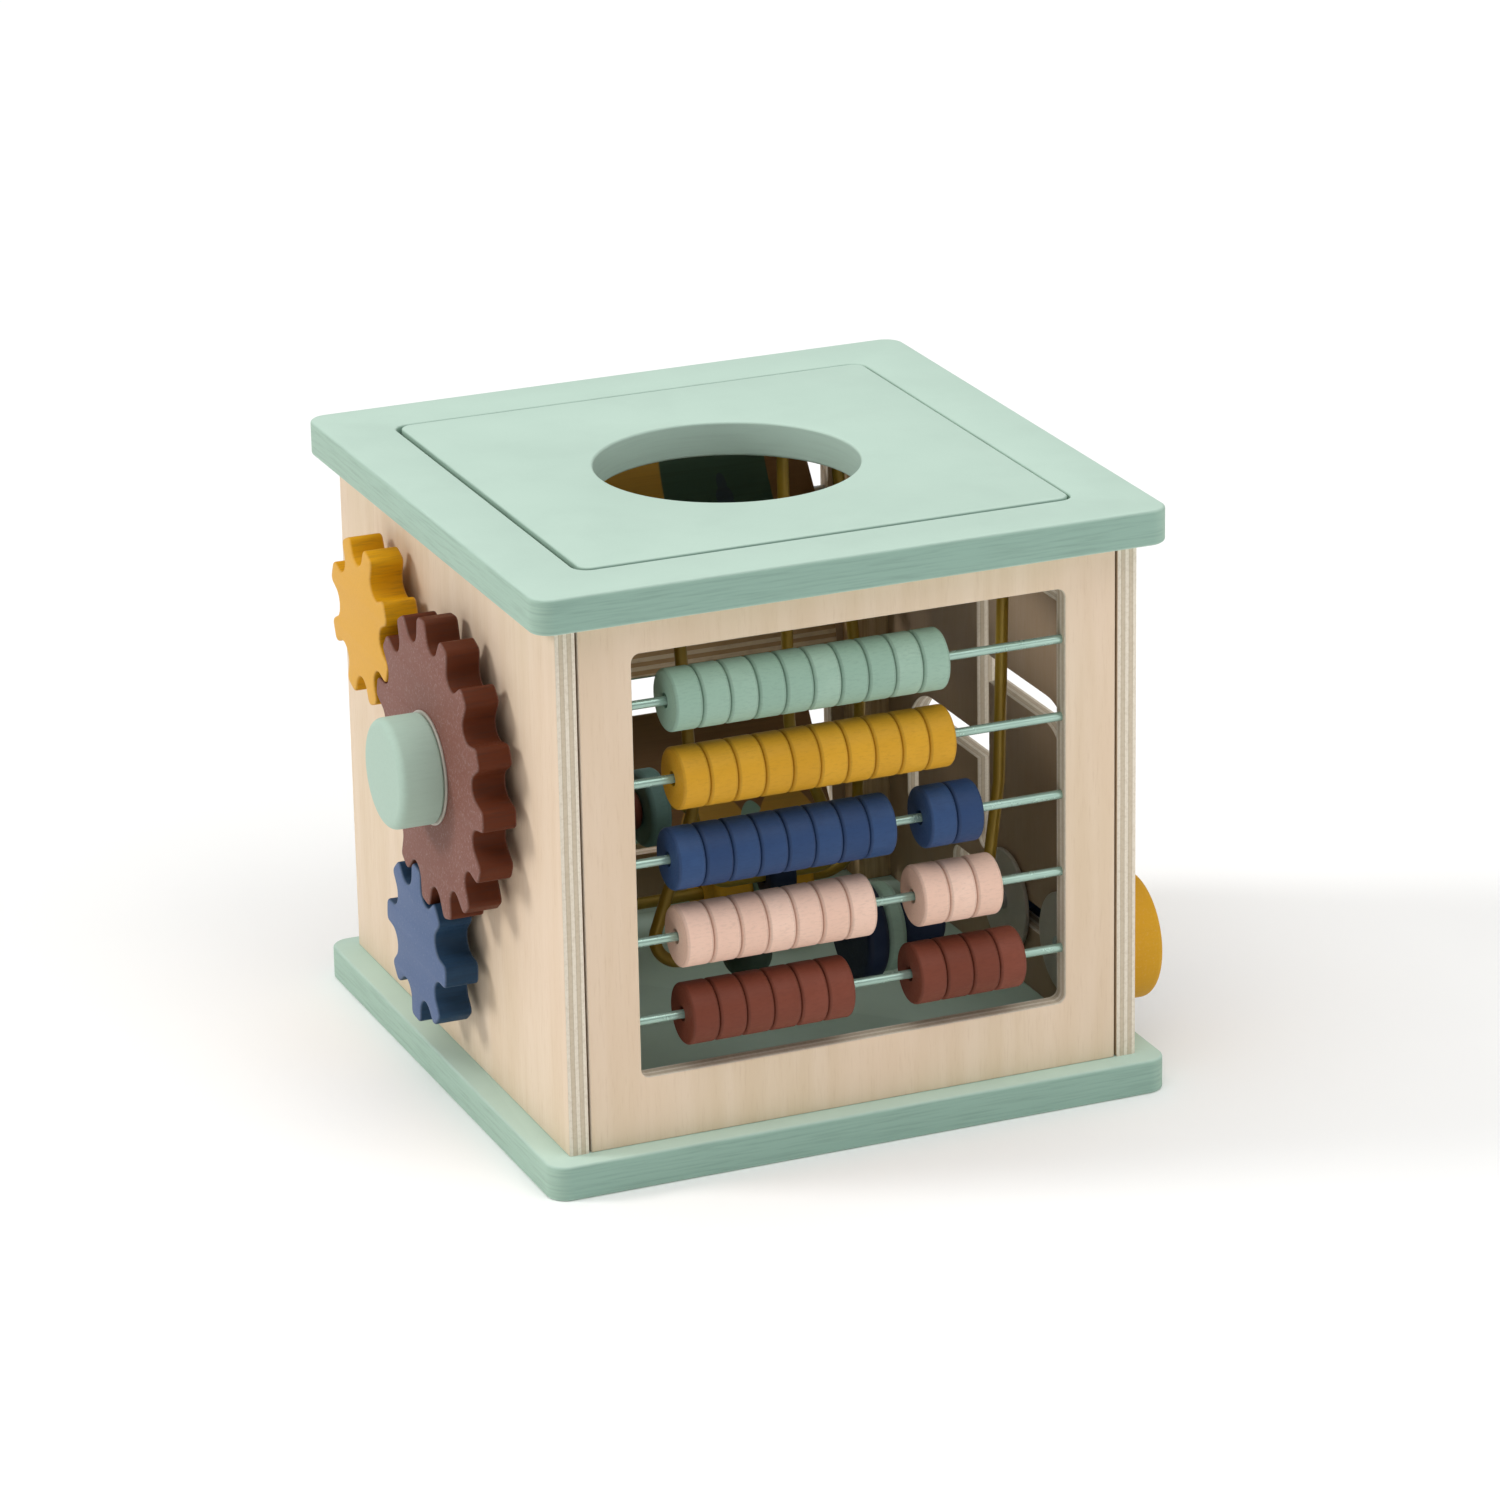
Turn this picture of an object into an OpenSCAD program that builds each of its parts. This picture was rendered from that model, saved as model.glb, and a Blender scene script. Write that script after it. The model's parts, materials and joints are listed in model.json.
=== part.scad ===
// Wooden activity cube: abacus front, gear wall, slider maze wall, turning picture blocks, lift-out lid
// with a round posting hole and a bead maze hanging under it. Millimetres, Z up, origin at the middle of
// the underside. X runs along the abacus front, Y goes from the front to the back.

/* [Boards] */
// Side of the square base board and top frame
plate_w = 220; // [212:1:236]
// Thickness of the painted boards
plate_t = 12; // [10:0.5:14]
// Corner radius of the painted boards
plate_r = 7; // [3:0.5:12]
// Height of the whole cube
total_h = 204; // [200:1:212]
// Thickness of the plywood walls
wall_t = 7; // [6:0.25:8]

/* [Lid] */
// Side of the lift-out lid
lid_w = 171.6; // [168:0.2:173]
// Gap round the lid
lid_gap = 1.2; // [0.6:0.1:1.6]
// Bore of the posting hole
hole_d = 89; // [70:1:90]

/* [Abacus] */
// Width of the front window
window_w = 151; // [148:1:154]
// Bead diameter
bead_d = 20.5; // [16:0.5:22]
// Bead thickness
bead_t = 9.4; // [8.8:0.1:9.4]
// Rod diameter
rod_d = 3; // [2.5:0.1:3.2]

/* [Gears] */
// Thickness of the gears
gear_t = 12; // [9:0.5:12]
// Diameter of the turning knob on the large gear
knob_d = 37; // [30:1:44]
// Height of the turning knob
knob_t = 15; // [10:1:20]

/* [Slider wall] */
// Width of the slots
slot_w = 9.4; // [9:0.1:10]
// Diameter of the outside slider knobs
slider_d = 44; // [36:1:45]
// Diameter of the inside slider caps
slider_cap_d = 36; // [30:1:37]

/* [Bead maze] */
// Wire diameter
wire_d = 4.2; // [3.6:0.1:4.4]

/* [Hidden] */
$fn = 96;
e = 0.01;
wall_lo = plate_t;
wall_hi = total_h - plate_t;
side_in = 94.2;                       // inner face of the gear wall and the slider wall
side_out = side_in + wall_t;
face_in = 95;                         // inner face of the front and back panels
face_out = face_in + wall_t;
panel_w = 2 * side_in - 0.5;
mid_y = face_in + wall_t / 2;         // centre plane of a front or back panel
row_z = [161, 134.3, 107.2, 80.3, 53.2];
bead_pitch = bead_t + 0.13;
bead_bore = 4.8;
front_win = [window_w, 34.7, 179.2];
back_win = [154, 31, 180];
block_z = [57, 106, 155];
block_l = 143;
block_h = 46;
block_rod_d = 4;
block_turn = [32, -80, 36];           // lean of each picture block as it stands
gear_back = -104.5;
gear_face = gear_back - gear_t;
gear_dist = 71.2;
big_c = [-22, 121.5];
mustard_dir = 25.4;
blue_dir = -74.4;
mustard_c = big_c + gear_dist * [cos(mustard_dir), sin(mustard_dir)];
blue_c = big_c + gear_dist * [cos(blue_dir), sin(blue_dir)];
big_phase = 87;
mustard_phase = mustard_dir + 202.5 - (big_phase - mustard_dir) * 15 / 8;
blue_phase = blue_dir + 202.5 - (big_phase - blue_dir) * 15 / 8;
axle_d = 8;
axle_fit = 0.08;
slider_neck_d = 8.8;
slider_cap_t = 1.6;
// places of the three sliders (y, z) in the slots
slider_a = [-64.5, 39];
slider_b = [-18, 39];
slider_c = [45, 163];
front_wire_y = -60;
middle_wire_y = 36;
back_wire_y = 58;
// bends of the maze wires as (x, z, bend radius)
front_wire_p = [[73.2, 200, 0], [73.2, 190, 8], [71, 100, 30], [65, 55, 9], [-57, 55, 9], [-38.5, 108, 25],
                [-43.85, 190, 8], [-43.85, 200, 0]];
middle_wire_p = [[35.1, 200, 0], [35.1, 190, 8], [36, 92, 25], [57, 40, 8], [6, 40, 8], [-2, 72, 8],
                 [-60, 72, 10], [-60, 200, 0]];
back_wire_p = [[63.8, 200, 0], [63.8, 190, 8], [72, 90, 30], [70, 28, 14], [-62, 28, 14], [-62, 200, 0]];
wire_sides = 12;
wire_tops = [[73.2, front_wire_y], [-43.85, front_wire_y], [35.1, middle_wire_y], [-60, middle_wire_y],
             [63.8, back_wire_y], [-62, back_wire_y]];
sage = "#9cc2b2"; mustard = "#d9a53c"; blue = "#4a6690"; terracotta = "#8a5046"; pink = "#e6c8b8";
birch = "#dcc6a6"; olive = "#8a6c14"; steel = "#b9bec0"; oak = "#c9ab80";

// ---- shared shapes ----
module rounded_square(w, d, r) {
  square([w - 2 * r, d], center = true);
  square([w, d - 2 * r], center = true);
  for (x = [-1, 1], y = [-1, 1]) translate([x * (w / 2 - r), y * (d / 2 - r)]) circle(r);
}
module board(w, t, r) linear_extrude(t) rounded_square(w, w, r);
// a turned disc along X with softly rounded rims, centred on the origin
module turned(d, t, rr, bore = 0) {
  rotate([0, 90, 0]) rotate_extrude() {
    translate([bore / 2, -t / 2]) square([d / 2 - rr - bore / 2, t]);
    translate([d / 2 - 2 * rr, -t / 2 + rr]) square([2 * rr, t - 2 * rr]);
    for (s = [-1, 1]) translate([d / 2 - rr, s * (t / 2 - rr)]) circle(rr, $fn = 48);
  }
}
module rod_x(d, x0, x1, y, z) translate([x0, y, z]) rotate([0, 90, 0]) cylinder(d = d, h = x1 - x0);
module window_cut(w, z0, z1, y0, y1, r) {
  translate([0, y1, (z0 + z1) / 2]) rotate([90, 0, 0]) linear_extrude(y1 - y0) rounded_square(w, z1 - z0, r);
}

// ---- painted boards ----
module base_plate() color(sage) difference() {
  board(plate_w, plate_t, plate_r);
  post_places() {
    translate([0, 0, -1]) cylinder(d = 4.2, h = plate_t + 2);
    translate([0, 0, -e]) cylinder(d1 = 8.2, d2 = 4.2, h = 2.5);
  }
}
module top_frame() color(sage) difference() {
  translate([0, 0, wall_hi]) board(plate_w, plate_t, plate_r);
  translate([0, 0, wall_hi - 1]) linear_extrude(plate_t + 2)
    rounded_square(lid_w + 2 * lid_gap, lid_w + 2 * lid_gap, 5.5);
}
module lid() color(sage) difference() {
  translate([0, 0, wall_hi]) board(lid_w, plate_t, 4.5);
  translate([0, 0, wall_hi - 1]) cylinder(d = hole_d, h = plate_t + 2, $fn = 180);
  for (p = wire_tops) translate([p[0], p[1], wall_hi - 1]) cylinder(d = wire_d + 0.1, h = 9.3);
}
module lid_rails() color(oak)
  for (s = [-1, 1]) translate([-84, s > 0 ? 80 : -face_in, wall_hi - 10]) cube([168, face_in - 80, 10]);

// ---- plywood walls ----
module side_board() translate([0, -face_out, wall_lo]) cube([wall_t, 2 * face_out, wall_hi - wall_lo]);
module gear_wall() color(birch) difference() {
  translate([-side_out, 0, 0]) side_board();
  for (c = [big_c, mustard_c, blue_c]) rod_x(axle_d + 2 * axle_fit, -side_out - 1, -side_in + 1, c[0], c[1]);
}
module slot_run(a, b) {
  L = norm(b - a);
  translate(a) {
    circle(d = slot_w);
    rotate(atan2(b[1] - a[1], b[0] - a[0])) translate([0, -slot_w / 2]) square([L, slot_w]);
  }
  translate(b) circle(d = slot_w);
}
module slot_bend(c, r, q) translate(c) rotate(q) intersection() {
  difference() { circle(r + slot_w / 2); circle(r - slot_w / 2); }
  square(r + slot_w);
}
module slots() {
  slot_run([3, 55], [3, 163]);
  slot_run([-64.5, 39], [24, 39]);
  slot_run([-47.5, 117.5], [3, 117.5]);
  slot_bend([-47.5, 100.5], 17, 90);
  slot_run([-64.5, 100.5], [-64.5, 39]);
  slot_run([45.5, 86.5], [3, 86.5]);
  slot_bend([45.5, 69.5], 17, 0);
  slot_run([62.5, 69.5], [62.5, 50]);
  slot_run([-58, 163], [58, 163]);
}
module slider_wall() color(birch) difference() {
  translate([side_in, 0, 0]) side_board();
  translate([side_in - 1, 0, 0]) rotate([90, 0, 90]) linear_extrude(wall_t + 2) slots();
}
module panel(y) translate([-panel_w / 2, y, wall_lo]) cube([panel_w, wall_t, wall_hi - wall_lo]);
module abacus_panel() color(birch) difference() {
  panel(-face_out);
  window_cut(front_win[0], front_win[1], front_win[2], -face_out - 1, -face_in + 1, 3);
  for (z = row_z) rod_x(rod_d, -window_w / 2 - 8, window_w / 2 + 8, -mid_y, z);
}
module back_panel() color(birch) difference() {
  panel(face_in);
  window_cut(back_win[0], back_win[1], back_win[2], face_in - 1, face_out + 1, 3);
  for (z = block_z) rod_x(block_rod_d, -86, 86, mid_y, z);
}
module post_places() for (x = [-1, 1], y = [-1, 1]) translate([x * 88, y * 89, 0]) children();
module corner_posts() color(oak) difference() {
  for (x = [-1, 1], y = [-1, 1])
    translate([x > 0 ? 82 : -side_in, y > 0 ? 83 : -face_in, wall_lo])
      cube([side_in - 82, face_in - 83, wall_hi - 10 - wall_lo - e]);
  post_places() translate([0, 0, wall_lo - 1]) cylinder(d = 3.6, h = 26);
}
module base_screws() color(steel) post_places() {
  cylinder(d1 = 7.8, d2 = 3.5, h = 2.4);
  translate([0, 0, 1]) cylinder(d = 3.5, h = 33);
}

// ---- abacus ----
module abacus_rods() color(sage) for (z = row_z)
  rod_x(rod_d, -window_w / 2 - 7.9, window_w / 2 + 7.9, -mid_y, z);
module bead_row(x0, n, row, tone) color(tone) for (i = [0:n - 1])
  translate([x0 + (i + 0.5) * bead_pitch, -mid_y, row_z[row]]) turned(bead_d, bead_t, 1.6, bead_bore);
module sage_beads() bead_row(-63.3, 10, 0, sage);
module mustard_beads() bead_row(-61.3, 10, 1, mustard);
module blue_beads_left() bead_row(-63.5, 8, 2, blue);
module blue_beads_right() bead_row(24.6, 2, 2, blue);
module pink_beads_left() bead_row(-61.3, 7, 3, pink);
module pink_beads_right() bead_row(21.8, 3, 3, pink);
module brown_beads_left() bead_row(-59.8, 6, 4, terracotta);
module brown_beads_right() bead_row(20.5, 4, 4, terracotta);

// ---- gears: round-bottomed valleys that flare outwards, tooth tips rounded ----
module tip_trim(rt, rc, rv, al, tr) {
  x0 = rc - rv * sin(al);
  y0 = rv * cos(al);
  m = tan(al);
  k = y0 - x0 * m + tr / cos(al);
  x = (-m * k + sqrt(m * m * k * k - (1 + m * m) * (k * k - (rt - tr) * (rt - tr)))) / (1 + m * m);
  c = [x, m * x + k];
  t1 = [sin(al), -cos(al)] * tr;
  t2 = c / norm(c) * tr;
  difference() {
    polygon([c, c + t1 * 1.5, c + (t1 + t2) * 1.4, c + t2 * 1.5]);
    translate(c) circle(tr);
  }
}
module gear_plan(n, rt, rr, rv, al, tr) {
  rc = rr + rv;
  x0 = rc - rv * sin(al);
  y0 = rv * cos(al);
  reach = rt + 3 - x0;
  difference() {
    circle(rt, $fn = 240);
    for (i = [0:n - 1]) rotate((i + 0.5) * 360 / n) {
      translate([rc, 0]) circle(rv);
      polygon([[x0, -y0], [x0 + reach, -y0 - reach * tan(al)],
               [x0 + reach, y0 + reach * tan(al)], [x0, y0]]);
      tip_trim(rt, rc, rv, al, tr);
      mirror([0, 1]) tip_trim(rt, rc, rv, al, tr);
    }
  }
}
module gear_at(c, phase, depth) difference() {
  translate([gear_face, c[0], c[1]]) rotate([90, 0, 90]) linear_extrude(gear_t) rotate(phase) children();
  rod_x(axle_d, gear_back - depth, gear_back + 1, c[0], c[1]);
}
module axle(c, depth) rod_x(axle_d - 0.02, gear_back - depth + 0.1, -side_in + 4.4, c[0], c[1]);
module axle_cap(c) difference() {
  translate([-side_in + 3.8, c[0], c[1]]) turned(20, 6, 1.2);
  rod_x(axle_d, -side_in - 1, -side_in + 4.5, c[0], c[1]);
}
module big_gear() color(terracotta) gear_at(big_c, big_phase, 8) gear_plan(15, 50.5, 41.5, 4.9, 25, 2.2);
module mustard_gear() color(mustard) gear_at(mustard_c, mustard_phase, 8) small_plan();
module blue_gear() color(blue) gear_at(blue_c, blue_phase, 8) small_plan();
module small_plan() gear_plan(8, 28.3, 19.8, 5.3, 25, 2.2);
module big_axle() color(oak) axle(big_c, 8);
module mustard_axle() color(oak) axle(mustard_c, 8);
module blue_axle() color(oak) axle(blue_c, 8);
module big_axle_cap() color(oak) axle_cap(big_c);
module mustard_axle_cap() color(oak) axle_cap(mustard_c);
module blue_axle_cap() color(oak) axle_cap(blue_c);
module gear_washers() color("#e9e4d8") for (c = [big_c, mustard_c, blue_c]) difference() {
  rod_x(18, -side_out - 2.9, -side_out, c[0], c[1]);
  rod_x(axle_d + 0.8, -side_out - 4, -side_out + 1, c[0], c[1]);
}
module knob_washer() color("#e9e4d8") rod_x(knob_d + 1.6, gear_face - 0.8, gear_face, big_c[0], big_c[1]);
module gear_knob() color(sage)
  translate([gear_face - 0.8 - knob_t / 2, big_c[0], big_c[1]]) turned(knob_d, knob_t, 2.8);

// ---- turning picture blocks ----
module block(i) translate([0, mid_y, block_z[i]]) rotate([-block_turn[i], 0, 0]) difference() {
  cube([block_l, plate_t, block_h], center = true);
  rod_x(block_rod_d + 0.16, -80, 80, 0, 0);
}
module block_low() color(mustard) block(0);
module block_middle() color(sage) block(1);
module block_high() color("#4f6a52") block(2);
module block_rods() color(steel) for (z = block_z) rod_x(block_rod_d, -85.9, 85.9, mid_y, z);

// ---- sliders ----
module slider_knob(p) difference() {
  union() {
    translate([side_out + 0.7 + 9, p[0], p[1]]) turned(slider_d, 18, 2.8);
    rod_x(slider_neck_d, side_in - 0.7, side_out + 2, p[0], p[1]);
  }
  rod_x(3.4, side_in - 2, side_out + 10, p[0], p[1]);
}
module slider_cap(p) difference() {
  translate([side_in - 0.7 - slider_cap_t / 2, p[0], p[1]]) turned(slider_cap_d, slider_cap_t, 0.5);
  rod_x(3.4, side_in - 10, side_in + 1, p[0], p[1]);
}
module slider_screw(p) {
  rod_x(6.6, side_in - slider_cap_t - 2.6, side_in - slider_cap_t - 0.7, p[0], p[1]);
  rod_x(3.3, side_in - slider_cap_t - 1.5, side_out + 9.5, p[0], p[1]);
}
module slider_a_knob() color(mustard) slider_knob(slider_a);
module slider_b_knob() color(blue) slider_knob(slider_b);
module slider_c_knob() color(terracotta) slider_knob(slider_c);
module slider_a_cap() color("#e9e4d8") slider_cap(slider_a);
module slider_b_cap() color("#e9e4d8") slider_cap(slider_b);
module slider_c_cap() color("#e9e4d8") slider_cap(slider_c);
module slider_a_screw() color(steel) slider_screw(slider_a);
module slider_b_screw() color(steel) slider_screw(slider_b);
module slider_c_screw() color(steel) slider_screw(slider_c);

// ---- bead maze ----
function turn_of(a, b, c) = let (u = b - a, v = c - b) atan2(u[0] * v[1] - u[1] * v[0], u * v);
function flat(p) = [p[0], p[1]];
function cut_back(p, i) = p[i][2] * tan(abs(turn_of(flat(p[i - 1]), flat(p[i]), flat(p[i + 1]))) / 2);
function heading(a, b) = atan2(b[1] - a[1], b[0] - a[0]);
// stations (x, z, heading) along a wire: its two ends and the steps round every bend
function stations(p) = let (n = len(p) - 1) concat(
  [[p[0][0], p[0][1], heading(flat(p[0]), flat(p[1]))]],
  [for (i = [1:n - 1])
    let (a = flat(p[i - 1]), b = flat(p[i]), k = turn_of(a, b, flat(p[i + 1])), h0 = heading(a, b),
         g = sign(k) * p[i][2], t = b - [cos(h0), sin(h0)] * cut_back(p, i),
         c = t + g * [-sin(h0), cos(h0)], steps = max(2, ceil(abs(k) / 9)))
    for (j = [0:steps]) let (h = h0 + k * j / steps) [c[0] + g * sin(h), c[1] - g * cos(h), h]],
  [[p[n][0], p[n][1], heading(flat(p[n - 1]), flat(p[n]))]]);
module bent_wire(p, y) {
  s = stations(p);
  m = wire_sides;
  rr = wire_d / 2;
  polyhedron([for (q = s, i = [0:m - 1]) let (a = i * 360 / m)
      [q[0] - sin(q[2]) * cos(a) * rr, y + sin(a) * rr, q[1] + cos(q[2]) * cos(a) * rr]],
    concat([[for (i = [m - 1:-1:0]) i]], [[for (i = [0:m - 1]) (len(s) - 1) * m + i]],
      [for (r = [0:len(s) - 2], i = [0:m - 1], f = [0, 1]) let (a = r * m + i, b = r * m + (i + 1) % m)
        f == 0 ? [a, b, b + m] : [a, b + m, a + m]]));
}
module front_wire() color(olive) bent_wire(front_wire_p, front_wire_y);
module middle_wire() color(olive) bent_wire(middle_wire_p, middle_wire_y);
module back_wire() color(olive) bent_wire(back_wire_p, back_wire_y);
module maze_bead(x, y, z, d, t, rr) translate([x, y, z]) turned(d, t, rr, wire_d + 1.2);
module maze_green_ball() color("#3f5d4c") maze_bead(-21, front_wire_y, 55, 18, 15, 3.1);
module maze_sage_disc() color(sage) maze_bead(27.5, front_wire_y, 55, 30, 7, 2);
module maze_navy_disc() color(blue) maze_bead(19.9, front_wire_y, 55, 34, 8, 2);
module maze_navy_barrel() color(blue) maze_bead(39.7, front_wire_y, 55, 18, 17, 3);
module maze_mustard_discs() color(mustard) for (x = [18, 41]) maze_bead(x, back_wire_y, 28, 29, 15, 2);
module maze_thin_disc() color(sage) maze_bead(29.5, back_wire_y, 28, 29, 7, 2);
module maze_teal_disc() color("#6f8f88") maze_bead(-17, middle_wire_y, 72, 27, 8, 2);
module maze_brown_bead() color(terracotta) maze_bead(-25.5, middle_wire_y, 72, 14, 8.6, 2);
module maze_navy_bead() color(blue) maze_bead(30, middle_wire_y, 40, 17, 10, 2);

base_plate();
top_frame();
lid_rails();
gear_wall();
slider_wall();
abacus_panel();
back_panel();
corner_posts();
base_screws();
abacus_rods();
block_rods();
gear_washers();
sage_beads();
mustard_beads();
blue_beads_left();
blue_beads_right();
pink_beads_left();
pink_beads_right();
brown_beads_left();
brown_beads_right();
big_gear();
knob_washer();
gear_knob();
big_axle();
big_axle_cap();
mustard_gear();
mustard_axle();
mustard_axle_cap();
blue_gear();
blue_axle();
blue_axle_cap();
block_low();
block_middle();
block_high();
slider_a_knob();
slider_a_cap();
slider_a_screw();
slider_b_knob();
slider_b_cap();
slider_b_screw();
slider_c_knob();
slider_c_cap();
slider_c_screw();
lid();
front_wire();
middle_wire();
back_wire();
maze_green_ball();
maze_sage_disc();
maze_navy_disc();
maze_navy_barrel();
maze_mustard_discs();
maze_thin_disc();
maze_teal_disc();
maze_brown_bead();
maze_navy_bead();
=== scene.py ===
# %% [markdown]
# # Dressing a wooden activity cube
# The CAD frame gives every board, gear and bead its place. This lesson makes the pieces over again with
# sanded edges, turned rims and real finishes. Every length below is in millimetres until it is
# multiplied by MM, because a maker thinks in millimetres and Blender in metres.

# %% Load the frame
import json
import math
import bpy
import bmesh
import numpy as np
from mathutils import Matrix, Vector
from mathutils.geometry import tessellate_polygon

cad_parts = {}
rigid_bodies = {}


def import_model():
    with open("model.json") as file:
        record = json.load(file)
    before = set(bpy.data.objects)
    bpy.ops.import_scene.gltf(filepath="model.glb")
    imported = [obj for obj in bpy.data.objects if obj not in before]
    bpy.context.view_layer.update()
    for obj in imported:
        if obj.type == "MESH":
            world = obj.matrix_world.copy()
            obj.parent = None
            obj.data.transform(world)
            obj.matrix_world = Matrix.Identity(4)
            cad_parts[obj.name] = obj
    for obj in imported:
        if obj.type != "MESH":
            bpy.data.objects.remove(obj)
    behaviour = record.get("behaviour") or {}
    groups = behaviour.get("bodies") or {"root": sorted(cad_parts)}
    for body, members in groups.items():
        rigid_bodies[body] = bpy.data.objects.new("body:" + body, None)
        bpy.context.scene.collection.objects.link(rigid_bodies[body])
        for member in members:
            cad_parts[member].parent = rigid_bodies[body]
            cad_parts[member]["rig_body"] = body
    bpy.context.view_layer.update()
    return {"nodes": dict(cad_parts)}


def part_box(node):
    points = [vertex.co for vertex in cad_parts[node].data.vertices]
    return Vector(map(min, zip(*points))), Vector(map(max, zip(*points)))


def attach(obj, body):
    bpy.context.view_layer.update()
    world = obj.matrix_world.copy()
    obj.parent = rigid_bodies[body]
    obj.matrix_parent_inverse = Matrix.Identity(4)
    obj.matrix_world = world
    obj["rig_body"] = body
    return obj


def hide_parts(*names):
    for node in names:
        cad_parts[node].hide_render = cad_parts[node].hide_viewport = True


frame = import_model()
MM = 0.001

# %% [markdown]
# ## From rows of points to a mesh
# A swept or turned surface is a grid of points. Neighbouring points make the faces, and where the grid
# closes on itself the last row joins the first. Doubled points, such as a pole, are merged afterwards,
# and every closed shell gets its faces turned outwards. Three numbers ride along on the points: how far
# a point is a cut side of the board, how close it is to a sanded arris, and a tone of its own.

# %% Mesh helpers
def grid_faces(rows, cols, wrap_rows, wrap_cols):
    """Quads of a grid kept row by row: corners (i, j), (i+1, j), (i+1, j+1), (i, j+1), indices taken
    modulo the grid's size where it closes."""
    i, j = np.meshgrid(np.arange(rows - (not wrap_rows)), np.arange(cols - (not wrap_cols)), indexing="ij")
    k, m = (i + 1) % rows, (j + 1) % cols
    return np.stack([i * cols + j, k * cols + j, k * cols + m, i * cols + m], -1).reshape(-1, 4)


def shell(points, faces, smooth=True, cut=0.0, arris=0.0, tone=0.5):
    """One surface as a bundle of arrays; a single number for an attribute counts for every point."""
    n = len(points)
    return {"points": np.asarray(points, float), "faces": [list(map(int, f)) for f in faces],
            "smooth": np.full(len(faces), smooth) if np.isscalar(smooth) else np.asarray(smooth),
            "cut": np.full(n, 1.0) * cut, "arris": np.full(n, 1.0) * arris, "tone": np.full(n, 1.0) * tone}


def joined(shells):
    """Several surfaces as one: points are stacked and face numbers moved up by the points before."""
    out, start = {k: [] for k in shells[0]}, 0
    for s in shells:
        for k in s:
            out[k] += [[i + start for i in f] for f in s[k]] if k == "faces" else [s[k]]
        start += len(s["points"])
    return {k: v if k == "faces" else np.concatenate(v) for k, v in out.items()}


def make_piece(name, node, shells, finish, sharp=40):
    """Writes the surfaces into a mesh, merges doubles, turns faces outwards, and lets the piece ride and
    stand for its CAD node."""
    whole = joined(shells)
    mesh = bpy.data.meshes.new(name)
    mesh.from_pydata((whole["points"] * MM).tolist(), [], whole["faces"])
    mesh.polygons.foreach_set("use_smooth", whole["smooth"].astype(bool))
    for key in ("cut", "arris", "tone"):
        mesh.attributes.new(key, "FLOAT", "POINT").data.foreach_set("value", whole[key].astype(np.float32))
    work = bmesh.new()
    work.from_mesh(mesh)
    bmesh.ops.remove_doubles(work, verts=work.verts, dist=1e-7)
    bmesh.ops.recalc_face_normals(work, faces=work.faces)
    work.to_mesh(mesh)
    work.free()
    mesh.set_sharp_from_angle(angle=math.radians(sharp))
    piece = bpy.data.objects.new(name, mesh)
    bpy.context.scene.collection.objects.link(piece)
    mesh.materials.append(finish)
    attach(piece, frame["nodes"][node]["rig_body"])
    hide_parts(node)


print("mesh helpers ready")

# %% [markdown]
# ## Outlines
# Boards are sawn to an outline, and so an outline is the first thing to have. A board's outline can be
# read from the flat face of its CAD node, so nothing is measured twice. Lathe profiles and bent wires
# come from a few corners, each with the radius that a file or a bending jig gives it.

# %% Outline helpers
def rounded_path(corners, closed=False, step=9.0):
    """Corners (x, y, radius) joined by straight legs; each corner becomes an arc that touches both legs,
    set back by radius times tan(half the turn), in steps of a few degrees."""
    p, out = np.array(corners, float), []
    for i in range(len(p)):
        if p[i, 2] == 0 or (not closed and i in (0, len(p) - 1)):
            out.append(p[i:i + 1, :2])
            continue
        a, b = p[i, :2] - p[i - 1, :2], p[(i + 1) % len(p), :2] - p[i, :2]
        a, b = a / np.hypot(*a), b / np.hypot(*b)
        turn = math.atan2(a[0] * b[1] - a[1] * b[0], a @ b)
        bend = math.copysign(p[i, 2], turn)
        start = p[i, :2] - a * p[i, 2] * math.tan(abs(turn) / 2)
        h = math.atan2(a[1], a[0])
        t = h + turn * np.linspace(0, 1, max(3, 1 + math.ceil(abs(math.degrees(turn)) / step)))
        out.append(start + bend * np.stack([np.sin(t) - math.sin(h), math.cos(h) - np.cos(t)], -1))
    return np.concatenate(out)


def outlines_of(node, axis):
    """The closed outlines of a board's far flat face along an axis, as (u, v) points in millimetres.
    They are the edges that only one triangle of that face has, followed from point to point."""
    mesh = frame["nodes"][node].data
    co = np.empty(len(mesh.vertices) * 3, np.float32)
    mesh.vertices.foreach_get("co", co)
    co = np.round(co.reshape(-1, 3).astype(float) / MM, 4)
    mesh.calc_loop_triangles()
    tri = np.empty(len(mesh.loop_triangles) * 3, np.int32)
    mesh.loop_triangles.foreach_get("vertices", tri)
    unique, index = np.unique(co, axis=0, return_inverse=True)
    tri = index.reshape(-1)[tri].reshape(-1, 3)
    tri = tri[(np.abs(unique[tri][:, :, axis] - unique[:, axis].max()) < 1e-3).all(1)]
    pairs = {(int(a), int(b)) for a, b in np.concatenate([tri[:, [0, 1]], tri[:, [1, 2]], tri[:, [2, 0]]])}
    follow = {a: b for a, b in pairs if (b, a) not in pairs}
    loops = []
    while follow:
        start, here = next(iter(follow.items()))
        run = [start]
        follow.pop(start)
        while here != start:
            run.append(here)
            here = follow.pop(here)
        loops.append(unique[run][:, [(axis + 1) % 3, (axis + 2) % 3]])
    return sorted(loops, key=lambda p: -abs(area(p)))


def area(p):
    """Half the sum of x times the next y less the next x times y: positive for a loop that turns left."""
    q = np.roll(p, -1, 0)
    return 0.5 * float((p[:, 0] * q[:, 1] - q[:, 0] * p[:, 1]).sum())


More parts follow.
